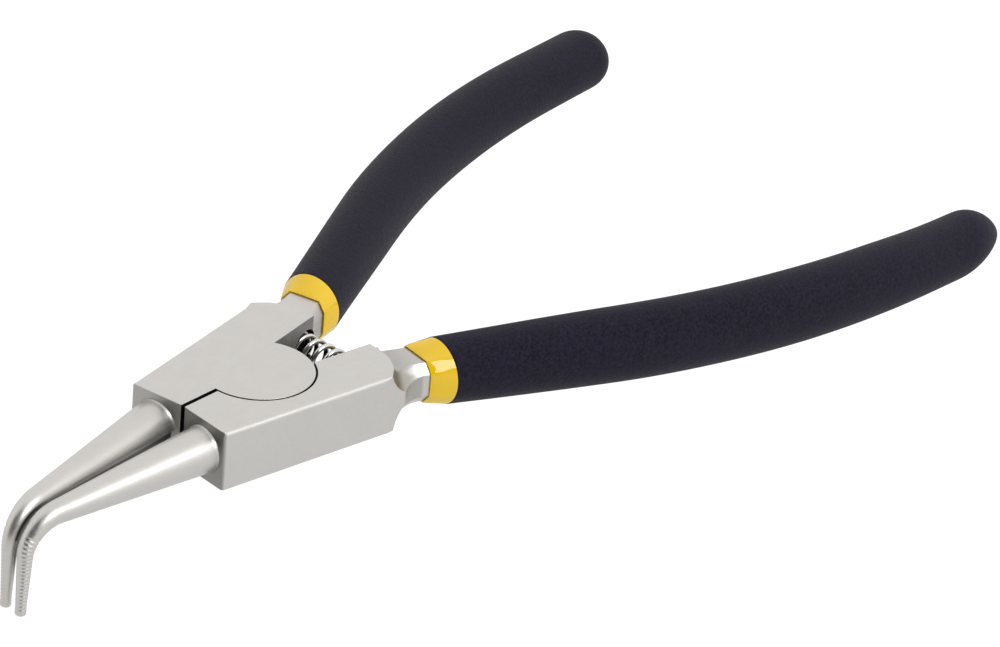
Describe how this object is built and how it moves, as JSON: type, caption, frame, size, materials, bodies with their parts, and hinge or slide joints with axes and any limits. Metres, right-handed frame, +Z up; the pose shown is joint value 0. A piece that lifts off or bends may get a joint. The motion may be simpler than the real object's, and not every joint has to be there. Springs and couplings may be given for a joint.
{
  "type": "circlip pliers",
  "caption": "External circlip pliers with right-angle bent round tips, a flat lap-jointed steel head, a return spring behind the pivot and curved dark dipped grips with bright collars.",
  "frame": {"origin": "on the pivot axis, level with the underside of the head", "axes": "+X from the pivot back to the handles, so the tips are at -X; +Y to the left lever, whose lap disc is the upper one; +Z up along the pivot, so the bent tips point down"},
  "size_m": [0.164, 0.0872, 0.0207],
  "materials": {
    "steel": "ground and satin",
    "rivet_steel": "ground flush with the head",
    "spring_wire": "bright wire",
    "yellow_dip": "glossy dipped vinyl",
    "dark_dip": "matt, finely pebbled dipped vinyl"
  },
  "bodies": {
    "left_half": {"left_lever": "steel", "pivot_rivet": "rivet_steel", "return_spring": "spring_wire", "left_sleeve": "yellow_dip", "left_grip": "dark_dip"},
    "right_half": {"right_lever": "steel", "right_sleeve": "yellow_dip", "right_grip": "dark_dip"}
  },
  "joints": [
    {"name": "pivot", "type": "hinge", "parent": "left_half", "child": "right_half", "pos_m": [0, 0, 0.00445], "axis": [0, 0, 1], "range_deg": [0, 24], "stiffness_Nm_per_rad": 0.35, "springref_deg": -20.05, "deforming": ["return_spring"]}
  ]
}
